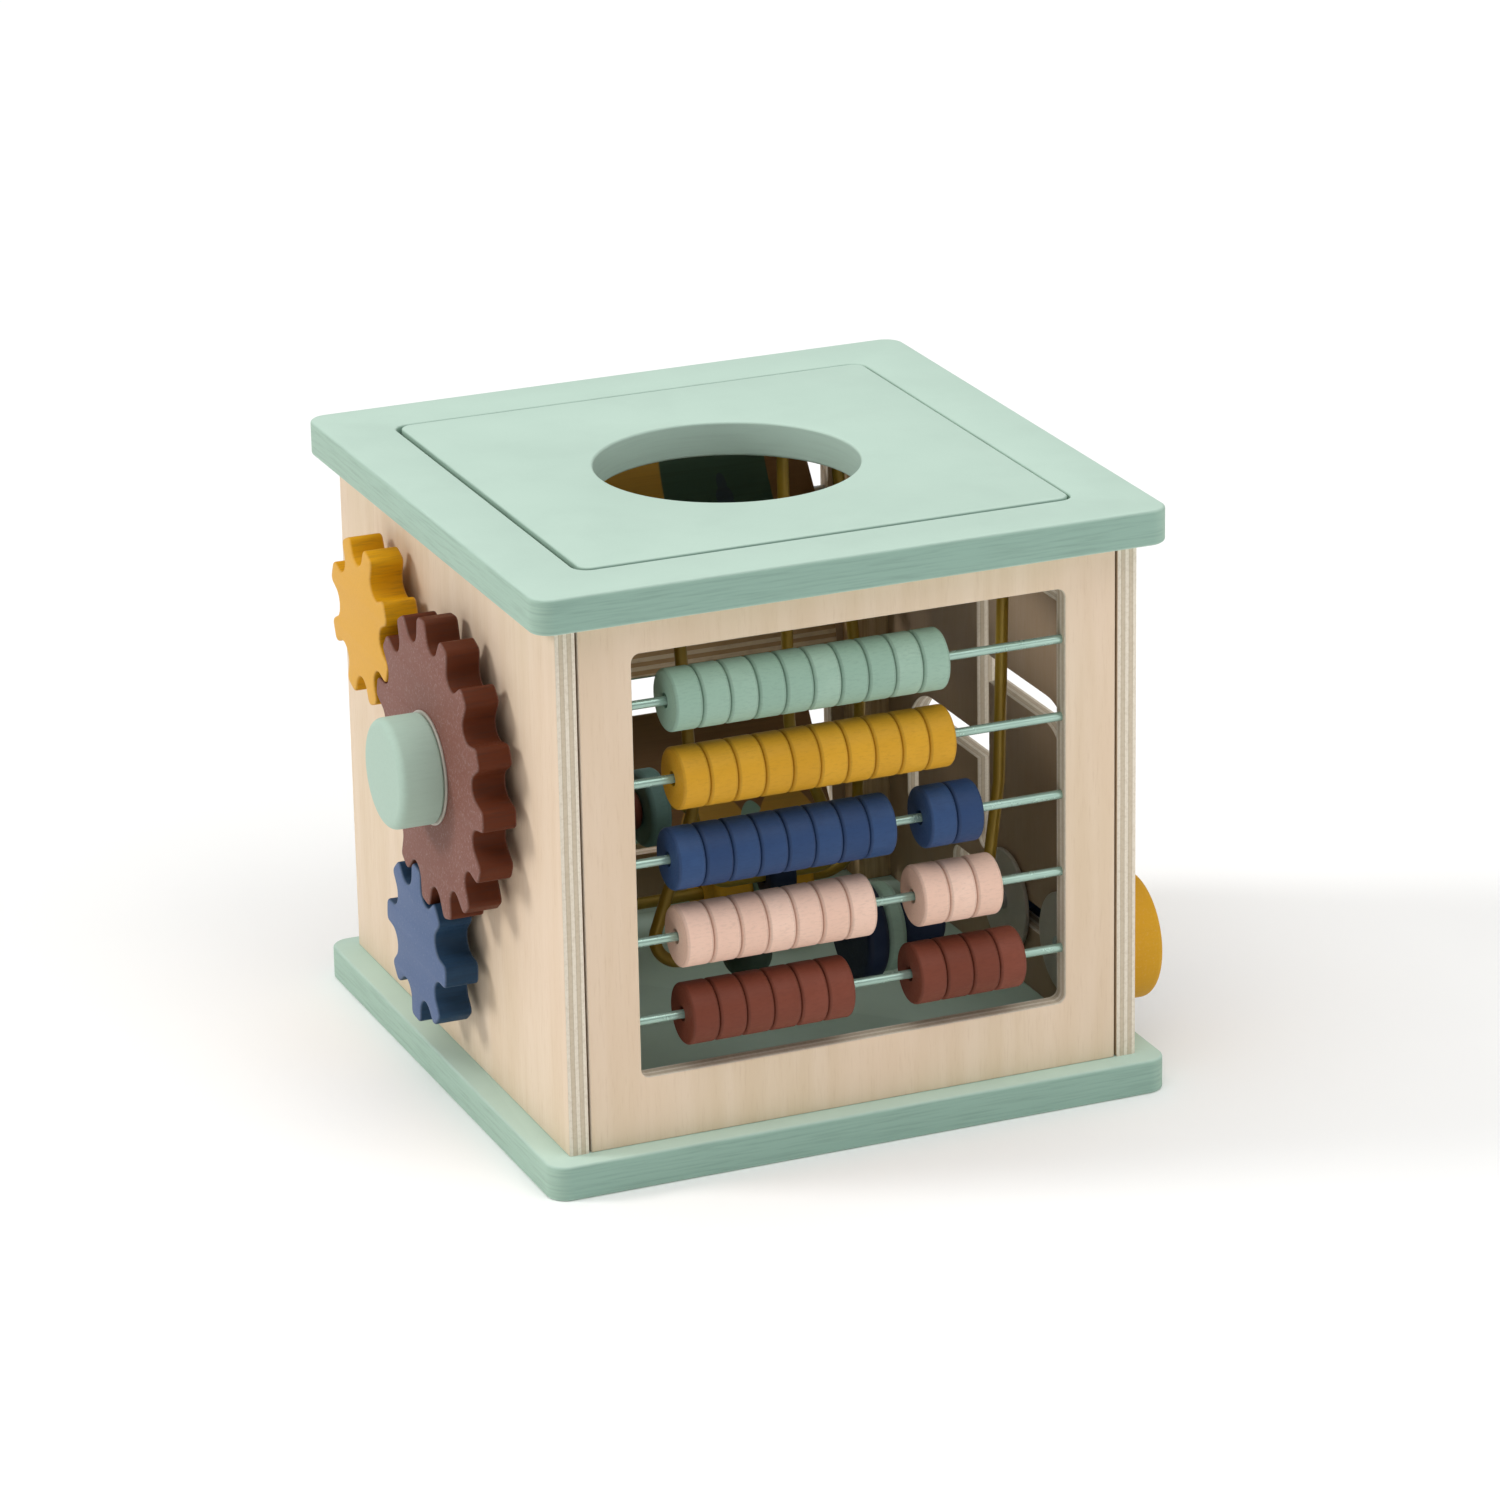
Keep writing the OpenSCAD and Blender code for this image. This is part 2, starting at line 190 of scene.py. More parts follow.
def inset(loop, d):
    """Every point moved to the left of its outline along the bisector of its two edges, by d over the
    cosine of half the turn, so that both edges move by d."""
    a, b = loop - np.roll(loop, 1, 0), np.roll(loop, -1, 0) - loop
    a, b = (v / np.maximum(np.hypot(v[:, 0], v[:, 1]), 1e-9)[:, None] for v in (a, b))
    left = np.stack([-(a + b)[:, 1], (a + b)[:, 0]], -1) / (1 + (a * b).sum(1))[:, None]
    return loop + d * left


print("lid outline points:", [len(p) for p in outlines_of("lid", 2)])

# %% [markdown]
# ## Boards with sanded edges
# A real board is never razor sharp: after sawing, sandpaper takes the arris off. The edge profile, two
# quarter rounds with a straight side between, is carried along every outline, and the flat faces are
# filled in between. A bevel would do it too, but this way knows which points lie on a cut side.

# %% Board maker
def edge_profile(lo, hi, r, steps=4):
    """(inset, height, cut, arris) from the low face to the high one: at angle t a round is inset by
    r(1 - cos t) and stands r(1 - sin t) inside the face; cut runs from 0 on the face to 1 on the side,
    and arris is sin 2t, highest half-way round."""
    t = np.linspace(math.pi / 2, 0, steps + 1)
    low = np.stack([r * (1 - np.cos(t)), lo + r * (1 - np.sin(t)), np.cos(t) ** 2, np.sin(2 * t)], -1)
    high = low[::-1].copy()
    high[:, 1] = lo + hi - high[:, 1]
    return np.concatenate([low, high])


def place(uv, height, axis):
    """(u, v) in a board's plan and a height along its axis, as (x, y, z)."""
    out = np.empty((len(uv), 3))
    out[:, (axis + 1) % 3], out[:, (axis + 2) % 3], out[:, axis] = uv[:, 0], uv[:, 1], height
    return out


def board(plan, axis, lo, hi, r=1.0, profiles=None):
    """A flat board: the edge profile carried along each outline of the plan, then both faces filled."""
    out, rims = [], ([], [])
    for i, loop in enumerate(plan):
        prof = (profiles or {}).get(i)
        prof = edge_profile(lo, hi, r) if prof is None else prof
        n, m = len(loop), len(prof)
        rings = np.stack([place(inset(loop, d), h, axis) for d, h in prof[:, :2]], 1)
        out.append(shell(rings.reshape(-1, 3), grid_faces(n, m, True, False),
                         cut=np.tile(prof[:, 2], n), arris=np.tile(prof[:, 3], n)))
        rims[0].append(rings[:, 0])
        rims[1].append(rings[:, -1])
    for rim in rims:
        flat = [[Vector((p[(axis + 1) % 3], p[(axis + 2) % 3], 0)) for p in ring] for ring in rim]
        out.append(shell(np.concatenate(rim), tessellate_polygon(flat), smooth=False))
    return out


def reach(node, axis):
    """Lowest and highest place of a CAD node along an axis, in millimetres."""
    lo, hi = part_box(node)
    return lo[axis] / MM, hi[axis] / MM


def middle(node):
    """The middle of a CAD node's box, in millimetres."""
    lo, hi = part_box(node)
    return np.array((lo + hi) / 2) / MM


print("edge profile:", np.round(edge_profile(0, 12, 1.5)[:3], 2).tolist())

# %% [markdown]
# ## Turned pieces
# Beads, knobs, caps and axles come off a lathe: a profile of (radius, height) spins round an axis. The
# profile's corners are eased with a small radius, as the turner does with a strip of sandpaper.

# %% Lathe
def turned(profile, centre, axis=0, steps=72, tone=0.5, arris=0.0):
    """Each profile point (radius, height) goes once round: centre + height along the axis, radius times
    (cos a, sin a) across it. A profile that starts and ends on the axis makes two poles, and any other
    is closed into a ring."""
    ring = profile[0, 0] > 1e-9
    a = np.linspace(0, 2 * math.pi, steps, endpoint=False)
    uv = profile[None, :, 0, None] * np.stack([np.cos(a), np.sin(a)], -1)[:, None, :]
    points = place(uv.reshape(-1, 2), np.tile(profile[:, 1], steps), axis) + np.asarray(centre, float)
    arris = np.tile(np.broadcast_to(arris, len(profile)), steps)
    return shell(points, grid_faces(steps, len(profile), True, ring), arris=arris, tone=tone)


def bead_profile(d, t, rim, bore, mouth=0.35):
    """The half section of a bored bead: outside rims eased by rim, the bore's mouths by a little."""
    b, r, h = bore / 2, d / 2, t / 2
    p = rounded_path([(b, -h, mouth), (r, -h, rim), (r, h, rim), (b, h, mouth)], True, 11)
    return p, np.clip(1 - np.abs(np.hypot(p[:, 0] - r + rim, np.abs(p[:, 1]) - h + rim) - rim) * 9, 0, 1) \
        * (p[:, 0] > r - rim + 0.05) * (np.abs(p[:, 1]) > h - rim + 0.05)


def disc_profile(d, lo, hi, rim_lo, rim_hi):
    """The half section of a plain turned disc from pole to pole, its two rims eased."""
    return rounded_path([(0, lo, 0), (d / 2, lo, rim_lo), (d / 2, hi, rim_hi), (0, hi, 0)], False, 9)


print("bead section points:", len(bead_profile(20.5, 9.4, 1.6, 4.8)[0]))

# %% [markdown]
# ## Paint and wood
# A finish here is a handful of shader nodes. One small function adds a node, sets it up and wires it, and
# another turns the hex colours of a paint chart into the linear light that the renderer adds up.

# %% Shader helpers
def linear(chart):
    """sRGB to linear: a channel c becomes c / 12.92 below 0.04045, else ((c + 0.055) / 1.055) ** 2.4."""
    c = np.array([int(chart[i:i + 2], 16) for i in (1, 3, 5)]) / 255
    return (*np.where(c <= 0.04045, c / 12.92, ((c + 0.055) / 1.055) ** 2.4).tolist(), 1.0)


def add(tree, kind, settings=None, **sockets):
    """Adds one node. Settings go on the node, and each socket, by name or as i and its number, gets a
    value or a link."""
    n = tree.nodes.new("ShaderNode" + kind)
    for key, value in (settings or {}).items():
        setattr(n, key, value)
    for key, value in sockets.items():
        s = n.inputs[int(key[1:])] if key[1:].isdigit() else n.inputs[key.replace("_", " ")]
        if isinstance(value, bpy.types.NodeSocket):
            tree.links.new(value, s)
        else:
            s.default_value = value
    return n


def finish(name, **constants):
    """An empty finish: a Principled shader with its whole-surface constants set, and its node tree."""
    m = bpy.data.materials.new(name)
    m.use_nodes = True
    shader = m.node_tree.nodes["Principled BSDF"]
    for key, value in constants.items():
        shader.inputs[key.replace("_", " ")].default_value = value
    return m, m.node_tree, shader


def math_node(tree, operation, a, b=0.0, c=0.0):
    """One arithmetic step on numbers or sockets; returns its value socket."""
    return add(tree, "Math", {"operation": operation}, i0=a, i1=b, i2=c).outputs[0]


def blend(tree, amount, a, b):
    """Two colours mixed by an amount; returns the colour socket."""
    return add(tree, "Mix", {"data_type": "RGBA"}, i0=amount, i6=a, i7=b).outputs[2]


def stretched_noise(tree, size_mm, detail=4.0, rough=0.55, turn=(0, 0, 0), centre=(0, 0, 0)):
    """Noise whose patches measure size_mm along x, y and z: Object coordinates divided by those sizes."""
    spot = add(tree, "TexCoord").outputs["Object"]
    spot = add(tree, "Mapping", {"vector_type": "TEXTURE"}, Vector=spot, Location=[c * MM for c in centre],
               Rotation=turn, Scale=[s * MM for s in size_mm]).outputs[0]
    return add(tree, "TexNoise", Vector=spot, Scale=1.0, Detail=detail, Roughness=rough).outputs[0]


def spread(tree, value, lo, hi, to_lo=0.0, to_hi=1.0):
    """A value's stretch from lo to hi, smoothly carried to the stretch from to_lo to to_hi."""
    return add(tree, "MapRange", {"interpolation_type": "SMOOTHSTEP"},
               i0=value, i1=lo, i2=hi, i3=to_lo, i4=to_hi).outputs[0]


def every_other(tree, level):
    """1 where the whole part of a value is even, else 0: the sheets of plywood that run along the edge."""
    step = math_node(tree, "PINGPONG", math_node(tree, "FLOOR", level), 1.0)
    return math_node(tree, "LESS_THAN", step, 0.5)


def bump(tree, height, depth_mm, strength=0.5):
    """A normal tilted by a height field that is depth_mm deep."""
    return add(tree, "Bump", Strength=strength, Distance=depth_mm * MM, Height=height).outputs[0]


print("sage in linear light:", [round(c, 3) for c in linear("#8FB7A6")])

# %% [markdown]
# ** Water-based paint on wood.** The boards, gears and knobs are sprayed with satin water-based paint. It
# soaks into the cut sides, which come out deeper and streaky along the grain, and lies even and a
# little lighter on the faces; on the gears part of that lightness is a painted sheen. The sanded arris is
# lighter, partly where the paint thins and partly as a painted highlight. On the big boards the two sides
# that face along x get a lighter colour of their own, painted light for the side that faces the lamp on
# the left. Grain lines are 0.5 mm apart in the real board; they are drawn about twice as wide so that they
# show.

# %% Paint
def paint(name, face, side, grain_mm, speck=0.05, streak=0.22, roughness=0.55, worn=0.05,
          spec=0.12, side_x=None):
    """Face and cut-side colours, streaks of size grain_mm on the cut sides, and fine specks on the face.
    Sides that face along x may take a lighter colour of their own, painted light for the lit left side."""
    m, tree, shader = finish(name, Specular_IOR_Level=spec)
    cut = add(tree, "Attribute", {"attribute_name": "cut"}).outputs["Fac"]
    arris = add(tree, "Attribute", {"attribute_name": "arris"}).outputs["Fac"]
    grain = stretched_noise(tree, grain_mm, 5.0, 0.6)
    cloud = stretched_noise(tree, (34, 34, 34), 2.0)
    fleck = stretched_noise(tree, (0.9, 0.9, 0.9), 3.0, 0.7)
    facing = add(tree, "SeparateXYZ", i0=add(tree, "TexCoord").outputs["Normal"]).outputs[0]
    # Painted light: sides facing along x blend to their own lighter colour, standing for the lamp on the
    # left.
    edge = blend(tree, math_node(tree, "ABSOLUTE", facing), linear(side), linear(side_x or side))
    body = blend(tree, cut, linear(face), edge)
    dark = math_node(tree, "MULTIPLY", spread(tree, grain, 0.42, 0.72), math_node(
        tree, "MULTIPLY_ADD", cut, streak, streak * 0.18))
    body = blend(tree, dark, body, (0.02, 0.03, 0.03, 1))
    light = math_node(tree, "MULTIPLY", spread(tree, fleck, 0.48, 0.74), math_node(
        tree, "MULTIPLY_ADD", cut, -speck, speck))
    body = blend(tree, light, body, (1, 1, 1, 1))
    body = blend(tree, spread(tree, cloud, 0.3, 0.7, 0.0, 0.06), body, linear(side))
    # The sanded arris is lightened towards white, partly as real wear and partly as a painted highlight.
    wear_and_highlight = math_node(tree, "MULTIPLY", arris, spread(tree, cloud, 0.35, 0.65, worn * 0.5, worn))
    body = blend(tree, wear_and_highlight, body, (0.95, 0.95, 0.9, 1))
    tree.links.new(body, shader.inputs["Base Color"])
    tree.links.new(spread(tree, fleck, 0.3, 0.7, roughness - 0.06, roughness + 0.08),
                   shader.inputs["Roughness"])
    relief = math_node(tree, "ADD", math_node(tree, "MULTIPLY", grain, cut), math_node(
        tree, "MULTIPLY", fleck, 0.6))
    tree.links.new(bump(tree, relief, 0.07, 0.45), shader.inputs["Normal"])
    return m


# The lighter colour given for the sides along x is painted light for the lit left side.
sage_paint = paint("satin_sage_paint_on_plywood", "#C0D8CA", "#91B0A2", (22, 22, 0.9), speck=0.02,
                   streak=0.15, worn=0.04, spec=0.2, side_x="#A4BFAE")
# The gear faces are lighter than their cut sides partly from the paint and partly as a painted sheen, as the
# paint's own gloss is kept low.
gear_paints = {
    "terracotta": paint("satin_terracotta_paint_on_plywood", "#7F5449", "#5F2E1A", (10, 0.9, 0.9), 0.12),
    "mustard": paint("satin_mustard_paint_on_plywood", "#DCA748", "#D6990C", (10, 0.9, 0.9), 0.03),
    "blue": paint("satin_blue_paint_on_plywood", "#596B8D", "#29435F", (10, 0.9, 0.9), 0.06),
}
knob_paints = {
    "sage": paint("satin_sage_paint_on_beech", "#AFC6B7", "#9DB7A8", (9, 1.0, 1.0), speck=0.02),
    "mustard": paint("satin_mustard_paint_on_beech", "#CE9A27", "#BC8419", (9, 1.0, 1.0), speck=0.03),
    "blue": paint("satin_blue_paint_on_beech", "#3F567C", "#2C4163", (9, 1.0, 1.0), speck=0.03),
    "terracotta": paint("satin_terracotta_paint_on_beech", "#80493A", "#6A382A", (9, 1.0, 1.0), speck=0.03),
}
print("paints:", 1 + len(gear_paints) + len(knob_paints))

# %% [markdown]
# **Birch plywood.** Thin sheets are peeled from a birch log and glued crosswise. The face shows a quiet
# upright figure with short pores, and a sawn edge shows the sheets: pale where the grain runs along the
# edge, darker where it is cut across, with a thin brown glue line between. The sheets are 1.4 mm thick.
# The faces that point inside the cube are darkened towards brown with painted shade, as the inside lies in
# shadow.

# %% Birch plywood
def birch(name, axis, lo, inside, sheet=1.4, figure=(7, 7, 95), pores=(0.7, 0.7, 9)):
    """Face figure stretched along z; on cut sides the sheet number is (place along the axis - lo)/sheet.
    The face that points inside, 1 or -1 along the axis, is darkened towards brown as painted shade."""
    m, tree, shader = finish(name, Specular_IOR_Level=0.35)
    cut = add(tree, "Attribute", {"attribute_name": "cut"}).outputs["Fac"]
    broad = stretched_noise(tree, figure, 3.0, 0.5)
    fine = stretched_noise(tree, pores, 4.0, 0.65)
    cloud = stretched_noise(tree, (60, 60, 90), 1.0)
    face = blend(tree, spread(tree, broad, 0.3, 0.7), linear("#E5D1B8"), linear("#DEC8AB"))
    face = blend(tree, spread(tree, cloud, 0.3, 0.7, 0.0, 0.5), face, linear("#E3C9B0"))
    face = blend(tree, spread(tree, fine, 0.5, 0.8, 0.0, 0.20), face, linear("#B8966F"))
    facing = add(tree, "SeparateXYZ", i0=add(tree, "TexCoord").outputs["Normal"]).outputs[axis]
    # Painted shade: faces that point into the cube are darkened towards brown.
    inner = spread(tree, math_node(tree, "MULTIPLY", facing, inside), 0.6, 0.9, 0.0, 0.75)
    face = blend(tree, inner, face, linear("#937656"))
    where = add(tree, "SeparateXYZ", i0=add(tree, "TexCoord").outputs["Object"]).outputs[axis]
    wavy = stretched_noise(tree, (30, 30, 30), 2.0)
    level = math_node(tree, "MULTIPLY_ADD", wavy, 0.25, math_node(
        tree, "MULTIPLY_ADD", where, 1 / (sheet * MM), -lo / sheet - 0.125))
    along = every_other(tree, level)
    fibre = stretched_noise(tree, (1.1, 1.1, 1.1), 3.0, 0.7)
    sheets = blend(tree, along, linear("#CDBFA8"), linear("#E6DCCB"))
    sheets = blend(tree, spread(tree, fibre, 0.4, 0.75, 0.0, 0.25), sheets, linear("#A38B68"))
    glue = spread(tree, math_node(tree, "PINGPONG", level, 0.5), 0.0, 0.12, 0.45, 0.0)
    sheets = blend(tree, glue, sheets, linear("#8C7556"))
    body = blend(tree, spread(tree, cut, 0.35, 0.75), face, sheets)
    tree.links.new(body, shader.inputs["Base Color"])
    tree.links.new(spread(tree, fine, 0.3, 0.7, 0.50, 0.66), shader.inputs["Roughness"])
    relief = math_node(tree, "ADD", math_node(tree, "MULTIPLY", fine, -0.8), math_node(
        tree, "MULTIPLY", math_node(tree, "MULTIPLY", fibre, cut), 0.8))
    tree.links.new(bump(tree, relief, 0.06, 0.4), shader.inputs["Normal"])
    return m


plywood = {n: birch("birch_plywood_" + n, a, reach(n, a)[0], inside) for n, a, inside in (
    ("gear_wall", 0, 1.0), ("slider_wall", 0, -1.0), ("abacus_panel", 1, 1.0), ("back_panel", 1, -1.0))}
print("plywood walls:", sorted(plywood))

# %% [markdown]
# ** Beads, rods, wires and small parts.** Beads tumble in a drum of coloured lacquer, so each comes out a
# shade apart. Their eased rims are darkened with painted shade, as the groove where two rims meet lies in
# shadow. The rods are powder coated steel, the maze wires are dipped in olive plastic, the screws are zinc
# plated, the slider caps and washers are frosted plastic, and the hidden blocks are plain rubberwood.

# %% Small finishes
def lacquer(name, colour, deep, roughness=0.50, rim=0.15):
    """A bead's own shade from its tone, fine grain along its hole, and painted shade on its rims."""
    m, tree, shader = finish(name, Specular_IOR_Level=0.18)
    tone = add(tree, "Attribute", {"attribute_name": "tone"}).outputs["Fac"]
    arris = add(tree, "Attribute", {"attribute_name": "arris"}).outputs["Fac"]
    grain = stretched_noise(tree, (2.2, 0.7, 0.7), 4.0, 0.65)
    cloud = stretched_noise(tree, (7, 7, 7), 2.0)
    body = blend(tree, tone, linear(deep), linear(colour))
    body = blend(tree, spread(tree, grain, 0.45, 0.75, 0.0, 0.14), body, (0.02, 0.02, 0.02, 1))
    body = blend(tree, spread(tree, cloud, 0.3, 0.7, 0.0, 0.35), body, linear(deep))
    # Painted shade: the eased rims are darkened towards black, standing for the shadow in the groove between
    # beads.
    body = blend(tree, math_node(tree, "MULTIPLY", arris, rim), body, (0.02, 0.015, 0.01, 1))
    tree.links.new(body, shader.inputs["Base Color"])
    tree.links.new(spread(tree, grain, 0.3, 0.7, roughness - 0.05, roughness + 0.08),
                   shader.inputs["Roughness"])
    tree.links.new(bump(tree, grain, 0.06, 0.4), shader.inputs["Normal"])
    return m


def coated_metal(name, colour, deep, roughness, size_mm, **constants):
    """A skin over steel: a little orange peel in its height and its gloss, and a soft drift of colour."""
    m, tree, shader = finish(name, **constants)
    peel = stretched_noise(tree, (size_mm,) * 3, 2.0)
    drift = stretched_noise(tree, (22, 22, 22), 2.0)
    tree.links.new(blend(tree, spread(tree, drift, 0.3, 0.7), linear(colour), linear(deep)),
                   shader.inputs["Base Color"])
    tree.links.new(spread(tree, peel, 0.3, 0.7, roughness, roughness + 0.1), shader.inputs["Roughness"])
    tree.links.new(bump(tree, peel, 0.02, 0.15), shader.inputs["Normal"])
    return m


def plain_wood(name, light, dark, size_mm):
    """Oiled wood: long dark and light streaks and open pores."""
    m, tree, shader = finish(name, Specular_IOR_Level=0.35)
    streaks = stretched_noise(tree, size_mm, 5.0, 0.6)
    pores = stretched_noise(tree, [s * 0.3 for s in size_mm], 3.0, 0.7)
    body = blend(tree, spread(tree, streaks, 0.35, 0.68), linear(light), linear(dark))
    body = blend(tree, spread(tree, pores, 0.52, 0.75, 0.0, 0.35), body, linear("#8A6844"))
    tree.links.new(body, shader.inputs["Base Color"])
    tree.links.new(spread(tree, pores, 0.3, 0.7, 0.5, 0.68), shader.inputs["Roughness"])
    tree.links.new(bump(tree, pores, 0.05, 0.4), shader.inputs["Normal"])
    return m


bead_lacquers = {
    "sage": lacquer("sage_bead_lacquer", "#A2BFAD", "#93B2A0"),
    "mustard": lacquer("mustard_bead_lacquer", "#DAA42F", "#C99424"),
    "blue": lacquer("blue_bead_lacquer", "#344F79", "#2A4168"),
    "pink": lacquer("pink_bead_lacquer", "#F2D0BD", "#E8C2AE"),
    "terracotta": lacquer("terracotta_bead_lacquer", "#824737", "#723B2B"),
    "navy": lacquer("navy_bead_lacquer", "#24324C", "#1C2940"),
    "green": lacquer("green_bead_lacquer", "#435A4B", "#384C3F"),
    "teal": lacquer("teal_bead_lacquer", "#6F8F88", "#64837D"),
}
rod_coat = coated_metal("powder_coated_rod", "#A6C2B6", "#9CB9AC", 0.18, 3.0, Metallic=0.45)
wire_coat = coated_metal("olive_dipped_wire", "#A3862A", "#997B20", 0.34, 5.0, Metallic=0.3)
zinc = coated_metal("zinc_plated_screw", "#C3C7C9", "#B4B9BC", 0.30, 1.0, Metallic=1.0)
frosted = coated_metal("frosted_plastic", "#D2CBBE", "#C6BFB1", 0.38, 1.5, Specular_IOR_Level=0.5,
                     Transmission_Weight=0.3)
rubberwood = {k: plain_wood("rubberwood_grain_" + k, "#D2B78F", "#BC9C70", s) for k, s in (
    ("upright", (1.6, 1.6, 30)), ("level", (30, 1.6, 1.6)))}
print("bead lacquers:", len(bead_lacquers))

# %% [markdown]
# ## The painted boards
# Base board, top frame and lid are 12 mm plywood, their edges eased to a round of about 1 mm. The
# four screw holes of the base open out underneath, so their edge profile is a cone and not a round.
# The lid's outline and its posting hole come from the CAD lid as two outlines of one board. A loose lid
# lies against two sides of its opening, so the gap is drawn wide on its left and front, narrow on the
# The hole's side takes only a quarter of the cut sides' deeper colour, so it stays close to the face colour.

# %% Painted boards
def smooth_round(loop, points=240):
    """A round outline again with more points: its centre, its mean radius and equal angles."""
    c = loop.mean(0)
    r = np.hypot(*(loop - c).T).mean()
    a = np.linspace(0, 2 * math.pi, points, endpoint=False)
    turn = 1 if area(loop) > 0 else -1
    return c + r * np.stack([np.cos(a), turn * np.sin(a)], -1)


def shrink(loop, corner, by):
    """An outline made narrower by a little, towards one corner of its box: p + (c - p) times by / size."""
    c = np.where(np.array(corner) > 0, loop.max(0), loop.min(0))
    return loop + (c - loop) * np.array(by) / np.ptp(loop, axis=0)


base_thick, board_round, lid_round, hole_round, hole_depth_of_colour = 12, 1.0, 0.7, 0.9, 0.25
countersink = np.array([(2.0, 0.0, 0.5, 0.6), (0.0, 2.5, 1.0, 0.0),
                        (0.0, base_thick - 0.6, 1.0, 0.0), (0.6, base_thick, 0.3, 0.5)])
make_piece("base_board", "base_plate", board(outlines_of("base_plate", 2), 2, 0, base_thick, board_round,
                                             {hole: countersink for hole in range(1, 5)}), sage_paint)
top_lo, top_hi = reach("top_frame", 2)
frame_plan, lid_plan = outlines_of("top_frame", 2), outlines_of("lid", 2)
frame_plan[1] = shrink(frame_plan[1], (-1, -1), (0.6, 0.8))
make_piece("top_frame_board", "top_frame", board(frame_plan, 2, top_lo, top_hi, board_round,
                                                 {1: edge_profile(top_lo, top_hi, lid_round)}), sage_paint)
lid_plan[0] = shrink(lid_plan[0], (1, 1), (0.8, 0.5))
lid_plan[1] = smooth_round(lid_plan[1])
hole_edge = edge_profile(top_lo, top_hi, hole_round)
hole_edge[:, 2] *= hole_depth_of_colour
make_piece("lid_board", "lid", board(lid_plan, 2, top_lo, top_hi, lid_round, {1: hole_edge}), sage_paint)

# %% [markdown]
# ## The plywood walls
# Two full-width side walls carry the gears and the sliders; the abacus panel and the back panel stand
# between them, each with a window, and a dark seam of half a millimetre shows where they meet. Sanding
# takes only half a millimetre off plywood, or the top sheet would be rubbed through. The upper slots of
# the slider wall are one long winding outline, and the low slot is another.

# %% Plywood walls
seam, wall_round, block_round = 0.5, 0.5, 0.6
for name, node, axis in (("gear_side_wall", "gear_wall", 0), ("slider_side_wall", "slider_wall", 0),
                         ("abacus_front_panel", "abacus_panel", 1), ("picture_back_panel", "back_panel", 1)):
    lo, hi = reach(node, axis)
    plan = outlines_of(node, axis)
    if axis == 1:
        plan[0] = plan[0] * (1, 1 - 2 * seam / np.ptp(plan[0][:, 1]))
    make_piece(name, node, board(plan, axis, lo, hi, wall_round), plywood[node])
    print(name, "outlines:", len(plan), "points:", sum(map(len, plan)))

for name, node, grain in (("corner_blocks", "corner_posts", "upright"),
                          ("lid_ledges", "lid_rails", "level")):
    lo, hi = reach(node, 2)
    blocks = [side for loop in outlines_of(node, 2) for side in board([loop], 2, lo, hi, block_round)]
    make_piece(name, node, blocks, rubberwood[grain])

# %% [markdown]
# ## Abacus rods and beads
# Five rods are glued into blind holes in the panel. Fifty rings would be dull if all were alike, so
# every bead gets its own tone. Its section is drawn once, and turned at even steps along the rod. The
# rods' ends have a small chamfer from the cutter.

# %% Abacus
def rod(x_lo, x_hi, d, y, z, end=0.3):
    """A rod along x from pole to pole, its ends eased by end."""
    return turned(disc_profile(d, x_lo, x_hi, end, end), (0, y, z), 0, 24)


row_heights, panel_middle, rod_d = (161, 134.3, 107.2, 80.3, 53.2), -98.5, 3.0
rods_lo, rods_hi = reach("abacus_rods", 0)
make_piece("abacus_rod_set", "abacus_rods",
           [rod(rods_lo, rods_hi, rod_d, panel_middle, z) for z in row_heights], rod_coat)
dice = np.random.default_rng(11)
bead_rows = {"sage_beads": (10, "sage"), "mustard_beads": (10, "mustard"),
             "blue_beads_left": (8, "blue"), "blue_beads_right": (2, "blue"),
             "pink_beads_left": (7, "pink"), "pink_beads_right": (3, "pink"),
             "brown_beads_left": (6, "terracotta"), "brown_beads_right": (4, "terracotta")}
bead_d, bead_t, bead_rim, bead_bore = 20.5, 9.4, 1.05, 4.8
section, rims = bead_profile(bead_d, bead_t, bead_rim, bead_bore)
for node, (count, colour) in bead_rows.items():
    lo, hi = reach(node, 0)
    y, z = middle(node)[1:]
    step = (hi - lo - bead_t) / (count - 1)
    row = [turned(section, (lo + bead_t / 2 + i * step, y, z), tone=dice.uniform(0, 1), arris=rims)
           for i in range(count)]
    make_piece("abacus_" + node, node, row, bead_lacquers[colour])
print("bead rows:", len(bead_rows), "beads:", sum(c for c, _ in bead_rows.values()))

# %% [markdown]
# ## Gears
# A toy gear has rounded valleys that flare outwards, and soft tooth tips. Half a tooth space is drawn:
# the valley's arc, the straight flare, the rounded corner and the tip circle; it is mirrored, turned
# round for every tooth, and the sanded edge is carried along the whole outline. A small gear
# is turned so that the middle of one of its teeth points at a valley of the large gear.

